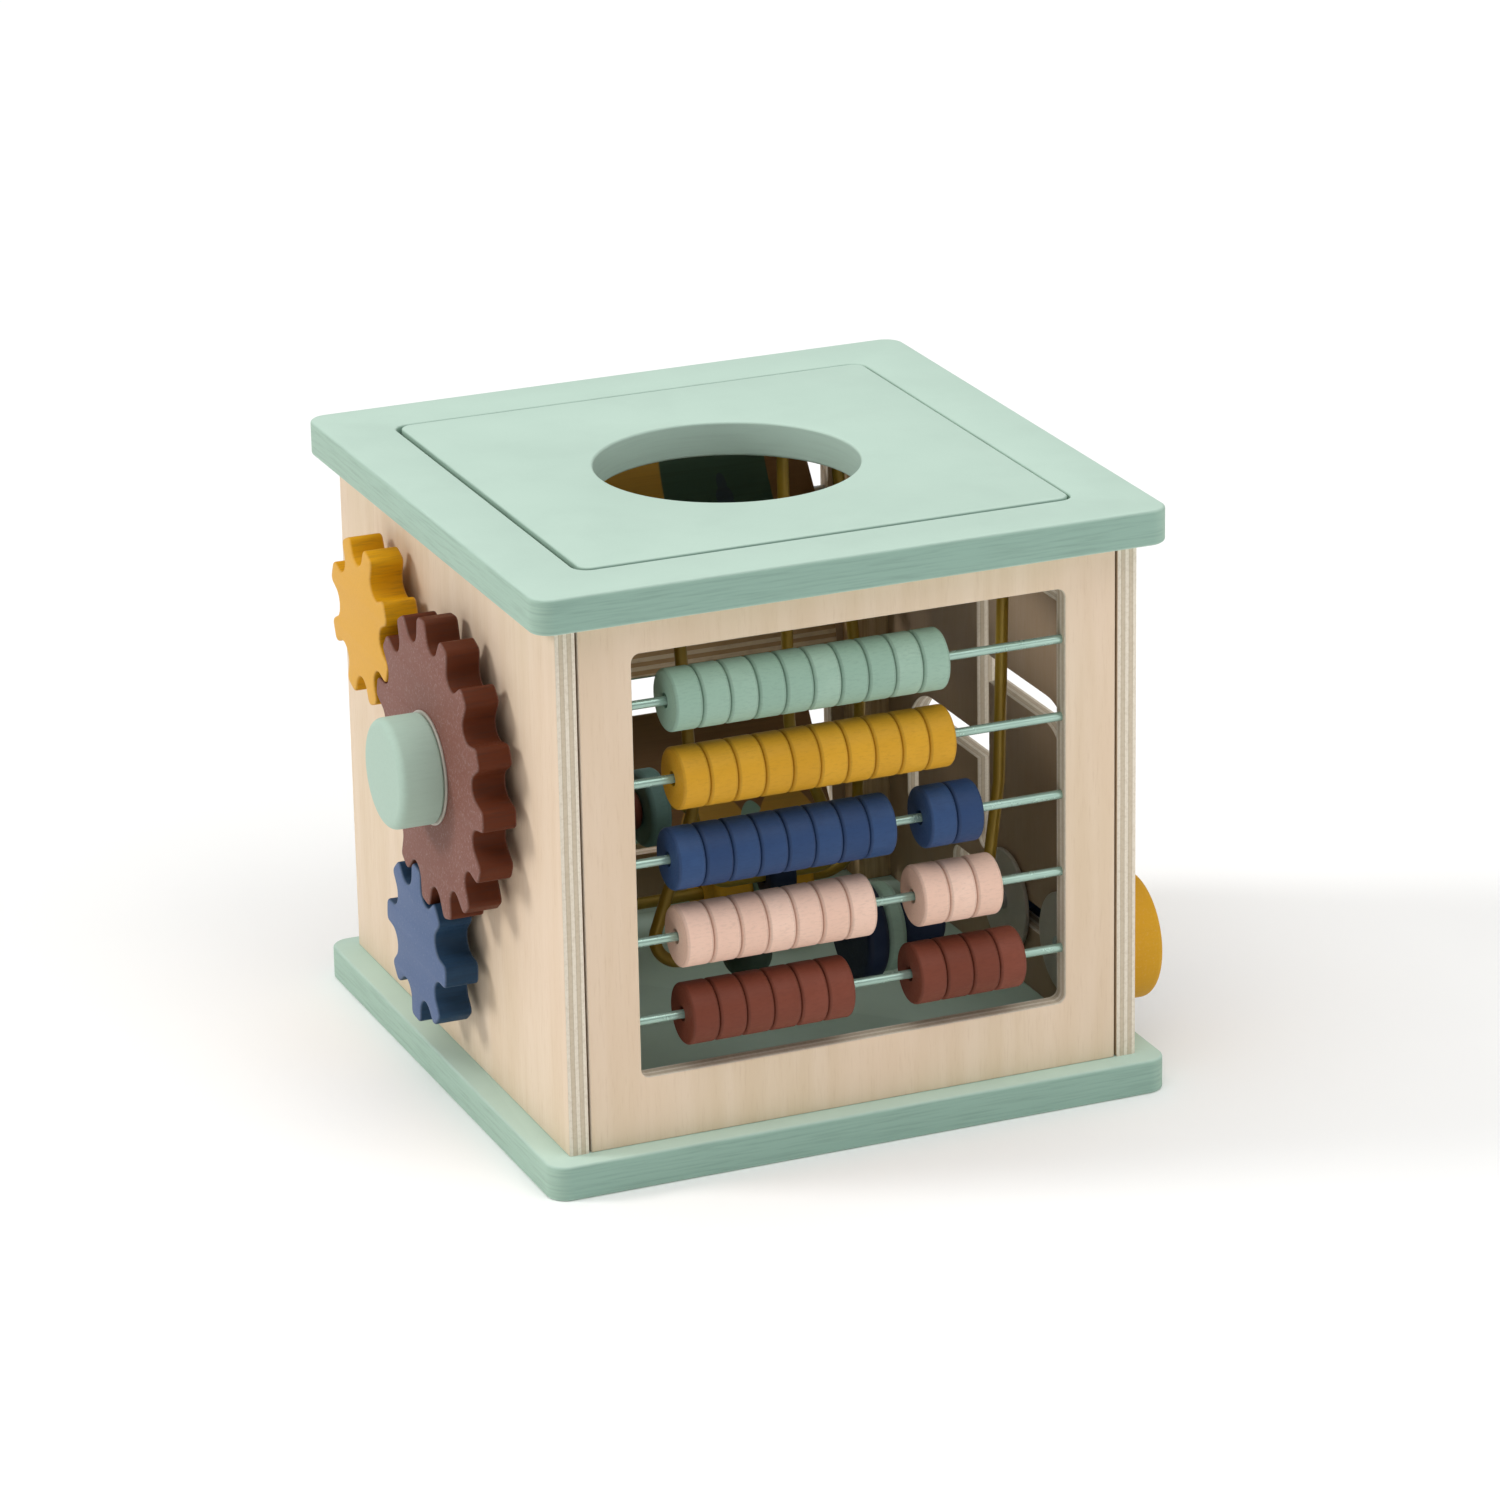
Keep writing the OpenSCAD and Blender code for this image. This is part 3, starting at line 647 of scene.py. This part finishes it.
# %% Gears
def gear_outline(teeth, tip, root, valley, corner, phase, flare=25.0):
    """Valley: a circle of radius valley about (root + valley, 0). Flare: a line at the flare angle that
    touches it. Corner: a circle that touches the line and the tip circle from inside; its centre (x, m x
    + k) lies at tip - corner from the middle."""
    f, pitch = math.radians(flare), 2 * math.pi / teeth
    mid = root + valley
    x0, y0, m = mid - valley * math.sin(f), valley * math.cos(f), math.tan(f)
    k = y0 - x0 * m + corner / math.cos(f)
    q = 1 + m * m
    x = (-m * k + math.sqrt(m * m * k * k - q * (k * k - (tip - corner) ** 2))) / q
    c = np.array([x, m * x + k])
    end = math.atan2(c[1], c[0])
    bow = np.linspace(math.pi, math.pi / 2 + f, 14)
    edge = np.linspace(f - math.pi / 2, end, 9)
    top = np.linspace(end, pitch / 2, 6)[1:]
    half = np.concatenate([np.stack([mid + valley * np.cos(bow), valley * np.sin(bow)], -1),
                           c + corner * np.stack([np.cos(edge), np.sin(edge)], -1),
                           tip * np.stack([np.cos(top), np.sin(top)], -1)])
    space = np.concatenate([half[::-1][:-1] * (1, -1), half])[:-1]
    a = math.radians(phase) + (np.arange(teeth) + 0.5) * pitch
    turns = np.stack([np.stack([np.cos(a), -np.sin(a)], -1), np.stack([np.sin(a), np.cos(a)], -1)], 1)
    return np.einsum("nij,pj->npi", turns, space).reshape(-1, 2)


big_place, centre_distance, big_phase = np.array([-22, 121.5]), 71.2, 87.0
small_gears = {"mustard": 25.4, "blue": -74.4}
gear_lo, gear_hi = reach("big_gear", 0)
gear_round, gear_crease = 0.8, 50
big_teeth, small_teeth = 15, 8
outline = gear_outline(big_teeth, tip=50.5, root=41.5, valley=4.9, corner=2.2, phase=big_phase)
make_piece("fifteen_tooth_gear", "big_gear", board([outline + big_place], 0, gear_lo, gear_hi, gear_round),
           gear_paints["terracotta"], gear_crease)
gear_places = {"big": big_place}
for colour, direction in small_gears.items():
    way = math.radians(direction)
    gear_places[colour] = big_place + centre_distance * np.array([math.cos(way), math.sin(way)])
    phase = direction + 180 + 180 / small_teeth - (big_phase - direction) * big_teeth / small_teeth
    outline = gear_outline(small_teeth, tip=28.3, root=19.8, valley=5.3, corner=2.2, phase=phase)
    make_piece(colour + "_eight_tooth_gear", colour + "_gear",
               board([outline + gear_places[colour]], 0, gear_lo, gear_hi, gear_round),
               gear_paints[colour], gear_crease)
print("gear centres:", {k: np.round(v, 1).tolist() for k, v in gear_places.items()})

# %% [markdown]
# The large gear has a turning knob glued on with a thin washer under it. Behind every gear an 8 mm dowel
# goes through a washer and the wall, and a turned cap keeps it in on the inside.

# %% Knob, axles, caps and washers
knob_d, knob_washer_d, spacer_d, spacer_bore, dowel_d, dowel_cap_d = 37, 38.2, 18, 8.8, 7.98, 20
y, z = big_place
lo, hi = reach("gear_knob", 0)
make_piece("turning_knob", "gear_knob", [turned(disc_profile(knob_d, lo, hi, 2.8, 1.2), (0, y, z), 0, 128)],
           knob_paints["sage"])
lo, hi = reach("knob_washer", 0)
make_piece("knob_base_washer", "knob_washer",
           [turned(disc_profile(knob_washer_d, lo, hi, 0.3, 0.3), (0, y, z), 0, 96)], frosted)
washer_lo, washer_hi = reach("gear_washers", 0)
ring = bead_profile(spacer_d, washer_hi - washer_lo, 0.5, spacer_bore, 0.3)[0]
make_piece("gear_spacers", "gear_washers", [
    turned(ring, ((washer_lo + washer_hi) / 2, *c)) for c in gear_places.values()], frosted)
for key, (y, z) in gear_places.items():
    lo, hi = reach(key + "_axle", 0)
    make_piece(key + "_gear_dowel", key + "_axle", [rod(lo, hi, dowel_d, y, z, 0.6)], rubberwood["level"])
    lo, hi = reach(key + "_axle_cap", 0)
    make_piece(key + "_dowel_cap", key + "_axle_cap",
               [turned(disc_profile(dowel_cap_d, lo, hi, 1.2, 1.2), (0, y, z), 0, 64)],
               rubberwood["upright"])
print("turned parts on the gear side:", 3 + 2 * len(gear_places))

# %% [markdown]
# ## Picture blocks
# Three bored planks turn on steel rods in the back window. Their broad faces are printed with simple hills,
# a sun and a tree, and their long edges are left as bare plywood. The picture is drawn in the plank's
# own coordinates, so a Mapping node first moves to its middle and takes its lean away.

# %% Printed planks
def printed_plank(name, centre, lean, ground, ovals, sheet=1.5):
    """Ovals (x, z, half width, half height, colour) printed in turn on the ground colour of both faces."""
    m, tree, shader = finish(name, Specular_IOR_Level=0.40)
    own = add(tree, "Mapping", {"vector_type": "TEXTURE"}, Vector=add(tree, "TexCoord").outputs["Object"],
              Location=[c * MM for c in centre], Rotation=(math.radians(-lean), 0, 0)).outputs[0]
    x, depth, z = add(tree, "SeparateXYZ", i0=own).outputs
    face = linear(ground)
    flat = add(tree, "CombineXYZ", i0=x, i2=z).outputs[0]
    for cx, cz, w, h, colour in ovals:
        spot = add(tree, "Mapping", {"vector_type": "TEXTURE"}, Vector=flat,
                   Location=(cx * MM, 0, cz * MM), Scale=(w * MM, 1, h * MM)).outputs[0]
        reach_out = add(tree, "VectorMath", {"operation": "LENGTH"}, i0=spot).outputs["Value"]
        face = blend(tree, spread(tree, reach_out, 0.98, 1.02, 1.0, 0.0), face, linear(colour))
    grain = stretched_noise(tree, (70, 2, 1.2), 4.0, 0.6, (math.radians(-lean), 0, 0), centre)
    face = blend(tree, spread(tree, grain, 0.45, 0.75, 0.0, 0.16), face, (0.03, 0.02, 0.01, 1))
    level = math_node(tree, "MULTIPLY_ADD", depth, 1 / (sheet * MM), 0.02)
    along = every_other(tree, level)
    sheets = blend(tree, along, linear("#B89468"), linear("#DFC9A8"))
    fibre = stretched_noise(tree, (5, 0.9, 0.9), 3.0, 0.7)
    sheets = blend(tree, spread(tree, fibre, 0.4, 0.75, 0.0, 0.3), sheets, linear("#8A6844"))
    painted = spread(tree, math_node(tree, "ABSOLUTE", depth), 5.1 * MM, 5.6 * MM)
    tree.links.new(blend(tree, painted, sheets, face), shader.inputs["Base Color"])
    tree.links.new(spread(tree, grain, 0.3, 0.7, 0.46, 0.6), shader.inputs["Roughness"])
    tree.links.new(bump(tree, fibre, 0.05, 0.35), shader.inputs["Normal"])
    return m


mustard, forest, umber = "#C99A3C", "#3F5A48", "#8A6238"
cream, sage, slate = "#E8DCC4", "#8FB3A2", "#38474E"
pictures = {
    "low": (32, umber, [(-40, -40, 46, 34, sage), (26, -34, 15, 26, mustard), (41, -30, 6, 16, sage),
                        (54, -34, 13, 24, mustard), (-20, 12, 7, 7, cream)]),
    "middle": (-80, sage, [(-45, -30, 40, 26, mustard), (30, -34, 50, 30, forest), (44, 12, 7, 7, cream)]),
    "high": (36, mustard, [(36, -6, 21, 60, forest), (66, -6, 11, 60, umber), (-52, -30, 34, 30, umber),
                           (37.5, -15, 4.2, 9, cream), (37.5, -4, 4.6, 4.2, slate),
                           (37.5, 1, 3.2, 4.2, slate), (37.5, 6, 1.8, 4.0, slate)]),
}
plank_rods_lo, plank_rods_hi = reach("block_rods", 0)
plank_rods, half_thick, half_wide, nose, bore_r, plank_rod_d = [], 6, 23, 1.5, 2.08, 4.0
section = rounded_path([(-half_thick, -half_wide, nose), (half_thick, -half_wide, nose),
                        (half_thick, half_wide, nose), (-half_thick, half_wide, nose)], True, 15)
bore = smooth_round(np.array([(bore_r, 0), (0, -bore_r), (-bore_r, 0), (0, bore_r)]), 36)
for key, (lean, ground, ovals) in pictures.items():
    node = "block_" + key
    lo, hi = reach(node, 0)
    centre = middle(node)
    t = math.radians(lean)
    turn = np.array([[math.cos(t), -math.sin(t)], [math.sin(t), math.cos(t)]])
    plan = [section @ turn + centre[1:], bore + centre[1:]]
    make_piece(key + "_picture_plank", node, board(plan, 0, lo, hi, 1.2),
               printed_plank("printed_plywood_" + key, centre, lean, ground, ovals), 50)
    plank_rods.append(rod(plank_rods_lo, plank_rods_hi, plank_rod_d, *centre[1:]))
make_piece("plank_rod_set", "block_rods", plank_rods, zinc)
print("picture planks:", len(pictures))

# %% [markdown]
# ## Screws
# A screw head is a disc whose face drops into a cross: each point sinks by how near it is to one of two
# crossing lines, which needs no cutting at all. Four such screws hold the corner blocks from below.

# %% Screw maker
def screw(corners, centre, axis, cross=2.1, depth=1.2):
    """A turned screw whose head face, at the profile's first height, has a cross: sink = depth times
    (closeness to a line) times (closeness to the middle), both cut off between 0 and 1."""
    face = np.linspace(0, corners[0][0] - 0.25, 16)
    first = corners[0][1]
    path = rounded_path([(0, first, 0), (corners[0][0], first, 0.25), *[(*c, 0) for c in corners[1:]]],
                        False, 20)
    profile = np.concatenate([np.stack([face, np.full(len(face), first)], -1), path[2:]])
    body = turned(profile, centre, axis, 96)
    p = body["points"]
    u, v = p[:, (axis + 1) % 3] - centre[(axis + 1) % 3], p[:, (axis + 2) % 3] - centre[(axis + 2) % 3]
    near = np.clip((0.6 - np.minimum(abs(u), abs(v))) / 0.25, 0, 1)
    inner = np.clip((cross - np.hypot(u, v)) / 0.5, 0, 1)
    on_face = p[:, axis] - centre[axis] < first + 0.01
    p[:, axis] += depth * near * inner * on_face
    return body


head_r, shank_r, screw_end, screw_crease = 3.9, 1.75, 33.5, 35
screws = [screw([(head_r, 0.05), (shank_r, 2.3), (shank_r, screw_end), (0, screw_end)], (x, y, 0), 2)
          for x in (-88, 88) for y in (-89, 89)]
make_piece("base_screw_set", "base_screws", screws, zinc, screw_crease)
print("base screws:", len(screws))

# %% [markdown]
# ## Sliders
# A slider is a fat knob outside with a neck through the slot, and a thin frosted cap inside, pulled
# together by a screw. The knob and its neck are one turning, so one section from the screw's hole round
# to the front face draws both.

# %% Sliders
slider_colours = {"a": "mustard", "b": "blue", "c": "terracotta"}
slider_r, neck_r, hole_r, hole_deep, knob_thick, slider_cap_r = 22, 4.4, 1.7, 8.7, 18, 18
slider_head_r, slider_head_t, slider_shank_r = 3.3, 1.9, 1.65
for key, colour in slider_colours.items():
    node = f"slider_{key}_knob"
    lo, hi = reach(node, 0)
    y, z = middle(node)[1:]
    back = hi - knob_thick
    knob = rounded_path([(0, hi - hole_deep, 0), (hole_r, hi - hole_deep, 0), (hole_r, lo, 0.2),
                         (neck_r, lo, 0.4), (neck_r, back, 0.8), (slider_r, back, 2.4),
                         (slider_r, hi, 2.8), (0, hi, 0)])
    make_piece(f"{colour}_slider_knob", node, [turned(knob, (0, y, z), 0, 128)], knob_paints[colour])
    lo, hi = reach(f"slider_{key}_cap", 0)
    cap = rounded_path([(hole_r, lo, 0.2), (slider_cap_r, lo, 0.5), (slider_cap_r, hi, 0.5),
                        (hole_r, hi, 0.2)], True)
    make_piece(f"{colour}_slider_cap", f"slider_{key}_cap", [turned(cap, (0, y, z), 0, 96)], frosted)
    lo, hi = reach(f"slider_{key}_screw", 0)
    under_head = lo + slider_head_t
    corners = [(slider_head_r, lo), (slider_head_r, under_head), (slider_shank_r, under_head),
               (slider_shank_r, hi), (0, hi)]
    make_piece(f"{colour}_slider_screw", f"slider_{key}_screw", [screw(corners, (0, y, z), 0)], zinc,
               screw_crease)
print("sliders:", len(slider_colours))

# %% [markdown]
# ## Bead maze
# Three wires hang from the lid, each bent in one upright plane on a jig. A wire is a small circle carried
# along a path of straight legs and bends; at each point the circle stands square to the path. The
# wire's plane fixes the circle's frame, so it can't twist. Each corner below is (x, z, bend radius).

# %% Maze wires
def bent_wire(corners, y, d, sides=20):
    """Circle points: path + radius (cos a times the path's own normal in its plane + sin a times y). Two
    more rings shrink to the path's ends and close the tube."""
    path = rounded_path(corners, False, 4)
    way = np.gradient(path, axis=0)
    way = way / np.hypot(*way.T)[:, None]
    path = np.concatenate([path[:1], path, path[-1:]])
    way = np.concatenate([way[:1], way, way[-1:]])
    radius = np.full(len(path), d / 2)
    radius[[0, -1]] = 0
    a = np.linspace(0, 2 * math.pi, sides, endpoint=False)
    side = radius[:, None] * np.cos(a)
    points = np.stack([path[:, :1] - side * way[:, 1:], y + radius[:, None] * np.sin(a),
                       path[:, 1:] + side * way[:, :1]], -1)
    return shell(points.reshape(-1, 3), grid_faces(len(path), sides, False, True))


wire_d = 4.2
wires = {
    "front": [(73.2, 200, 0), (73.2, 190, 8), (71, 100, 30), (65, 55, 9), (-57, 55, 9), (-38.5, 108, 25),
              (-43.85, 190, 8), (-43.85, 200, 0)],
    "middle": [(35.1, 200, 0), (35.1, 190, 8), (36, 92, 25), (57, 40, 8), (6, 40, 8), (-2, 72, 8),
               (-60, 72, 10), (-60, 200, 0)],
    "back": [(63.8, 200, 0), (63.8, 190, 8), (72, 90, 30), (70, 28, 14), (-62, 28, 14), (-62, 200, 0)],
}
for key, corners in wires.items():
    node = key + "_wire"
    tube = bent_wire(corners, middle(node)[1], wire_d)
    make_piece(key + "_maze_wire", node, [tube], wire_coat, 60)
    print(key, "wire spans", np.round(np.ptp(tube["points"], axis=0), 1).tolist(), "mm")

# %% [markdown]
# ## Maze beads
# Ten beads are threaded on the wires: a ball, a barrel, discs of several thicknesses and two small round
# beads. They are bored and eased like the abacus beads, so the same section does for all, with a bigger
# rim for the ball. The two mustard discs share one CAD node. All sizes and places come from the nodes.

# %% Maze beads
maze_beads = {"green_ball": ("green", 6.0), "sage_disc": ("sage", 2.0), "navy_disc": ("navy", 2.0),
              "navy_barrel": ("navy", 3.0), "mustard_discs": ("mustard", 2.0), "thin_disc": ("sage", 2.0),
              "teal_disc": ("teal", 2.0), "brown_bead": ("terracotta", 2.0), "navy_bead": ("navy", 2.0)}
maze_bore, pair_thick = 5.4, 15.0
for key, (colour, rim) in maze_beads.items():
    node = "maze_" + key
    (lo, hi), (low, high) = reach(node, 0), reach(node, 2)
    y, z = middle(node)[1:]
    thick = pair_thick if key == "mustard_discs" else hi - lo
    section, rims = bead_profile(high - low, thick, rim, maze_bore)
    places = [(lo + hi) / 2] if thick == hi - lo else [lo + thick / 2, hi - thick / 2]
    make_piece("threaded_" + key, node, [turned(section, (x, y, z), tone=dice.uniform(0, 1), arris=rims)
                                         for x in places], bead_lacquers[colour])

# %% [markdown]
# ## The studio
# The cube stands on a pale sweep under soft light: a broad silk overhead, a smaller one on the left and
# behind, which throws the gears' shadows forward along the wall, a weak one in front, and a plain white
# room that fills the rest. A window-sized lamp near the right front corner lets the abacus side fall off
# gently towards the left. The view transform is Standard, so the paint chart's colours come out as they are.

# %% Studio
floor_mesh = bpy.data.meshes.new("pale_floor")
floor_mesh.from_pydata([(-9, -9, 0), (9, -9, 0), (9, 9, 0), (-9, 9, 0)], [], [(0, 1, 2, 3)])
floor = bpy.data.objects.new("pale_floor", floor_mesh)
bpy.context.scene.collection.objects.link(floor)
sweep = finish("white_studio_paper", Base_Color=linear("#FBFBFA"), Roughness=0.9, Specular_IOR_Level=0.1)[0]
floor_mesh.materials.append(sweep)

world = bpy.data.worlds.new("soft_white_room")
bpy.context.scene.world = world
world.use_nodes = True
world.node_tree.nodes["Background"].inputs["Color"].default_value = linear("#FFFFFF")
world.node_tree.nodes["Background"].inputs["Strength"].default_value = 0.33
bpy.context.scene.view_settings.view_transform = "Standard"


def far_lamp(name, towards, width, level):
    """A far lamp behind a silk: it lies in a direction, looks width degrees wide, and lights a white
    surface that faces it to the given level, which takes pi times that in lamp strength."""
    lamp = bpy.data.lights.new(name, "SUN")
    lamp.angle, lamp.energy = math.radians(width), level * math.pi
    box = bpy.data.objects.new(name, lamp)
    box.rotation_euler = Vector(towards).to_track_quat("Z", "Y").to_euler()
    bpy.context.scene.collection.objects.link(box)


for name, towards, spread_angle, strength in (("overhead_silk", (-0.1, -0.1, 1.0), 60, 0.46),
                                              ("left_silk", (-0.80, 0.34, 0.50), 16, 0.40),
                                              ("front_silk", (0.35, -0.65, 0.85), 36, 0.16)):
    far_lamp(name, towards, spread_angle, strength)

window_spot, window_aim = Vector((0.46, -0.56, 0.18)), Vector((0.04, -0.1, 0.1))
window_lamp = bpy.data.lights.new("right_window", "AREA")
window_lamp.size, window_lamp.energy = 0.35, 0.45
window_box = bpy.data.objects.new("right_window", window_lamp)
window_box.location, window_box.visible_camera = window_spot, False
window_box.rotation_euler = (window_spot - window_aim).to_track_quat("Z", "Y").to_euler()
bpy.context.scene.collection.objects.link(window_box)
print("lamps:", len(bpy.data.lights))

# %% [markdown]
# ## The camera
# The camera stands two metres back with a long lens, so the cube's sides hardly converge. A tripod head
# turns by azimuth, tilts by elevation, and here also leans a degree, and its three directions become the
# columns of the camera's matrix.

# %% Camera
def stand_camera(spot, azimuth, elevation, roll, focal):
    """Looks along (sin a cos e, cos a cos e, -sin e), then rolls about that line; focal in millimetres for
    a 36 mm wide sensor."""
    a, e, r = map(math.radians, (azimuth, elevation, roll))
    ahead = Vector((math.sin(a) * math.cos(e), math.cos(a) * math.cos(e), -math.sin(e)))
    right = Vector((math.cos(a), -math.sin(a), 0))
    up = right.cross(ahead)
    right, up = right * math.cos(r) + up * math.sin(r), up * math.cos(r) - right * math.sin(r)
    eye = bpy.data.cameras.new("studio_camera")
    eye.lens, eye.sensor_width, eye.clip_end = focal, 36.0, 50.0
    camera = bpy.data.objects.new("studio_camera", eye)
    bpy.context.scene.collection.objects.link(camera)
    camera.matrix_world = Matrix((right, up, -ahead)).transposed().to_4x4()
    camera.location = spot
    bpy.context.scene.camera = camera


stand_camera(spot=(-0.7452, -1.8239, 0.8183), azimuth=22.394, elevation=19.981, roll=-1.085, focal=149.24)
bpy.context.view_layer.update()
print("camera lens:", bpy.context.scene.camera.data.lens)
